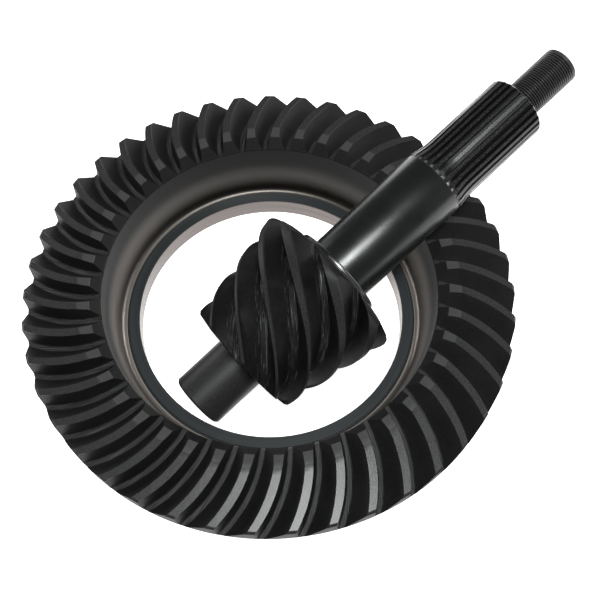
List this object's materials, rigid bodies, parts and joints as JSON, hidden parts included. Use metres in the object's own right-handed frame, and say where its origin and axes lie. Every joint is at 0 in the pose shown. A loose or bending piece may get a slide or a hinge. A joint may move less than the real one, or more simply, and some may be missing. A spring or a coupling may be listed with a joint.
{
  "type": "hypoid gear set",
  "caption": "Hypoid ring gear with curved spiral teeth and its long drive pinion with pilot stub, bearing journal, spline and threaded end, lying across the ring.",
  "frame": {"origin": "centre of the ring gear's back face", "axes": "+Z along the ring gear's axis from the back face to the teeth; +X to the right and +Y away from the viewer, with the pinion's threaded end pointing between +X and +Y"},
  "size_m": [0.2684, 0.2412, 0.0984],
  "materials": {
    "ring_gear": "matte black phosphate on machined forged steel",
    "drive_pinion": "satin black oxide on ground and hobbed steel"
  },
  "bodies": {
    "ring_gear": {"ring_gear": "ring_gear"},
    "drive_pinion": {"drive_pinion": "drive_pinion"}
  },
  "joints": [
    {"name": "pinion_spin", "type": "hinge", "parent": "ring_gear", "child": "drive_pinion", "pos_m": [-0.03235, -0.05454, 0.02195], "axis": [0.7142, 0.6428, 0.277], "continuous": true}
  ]
}
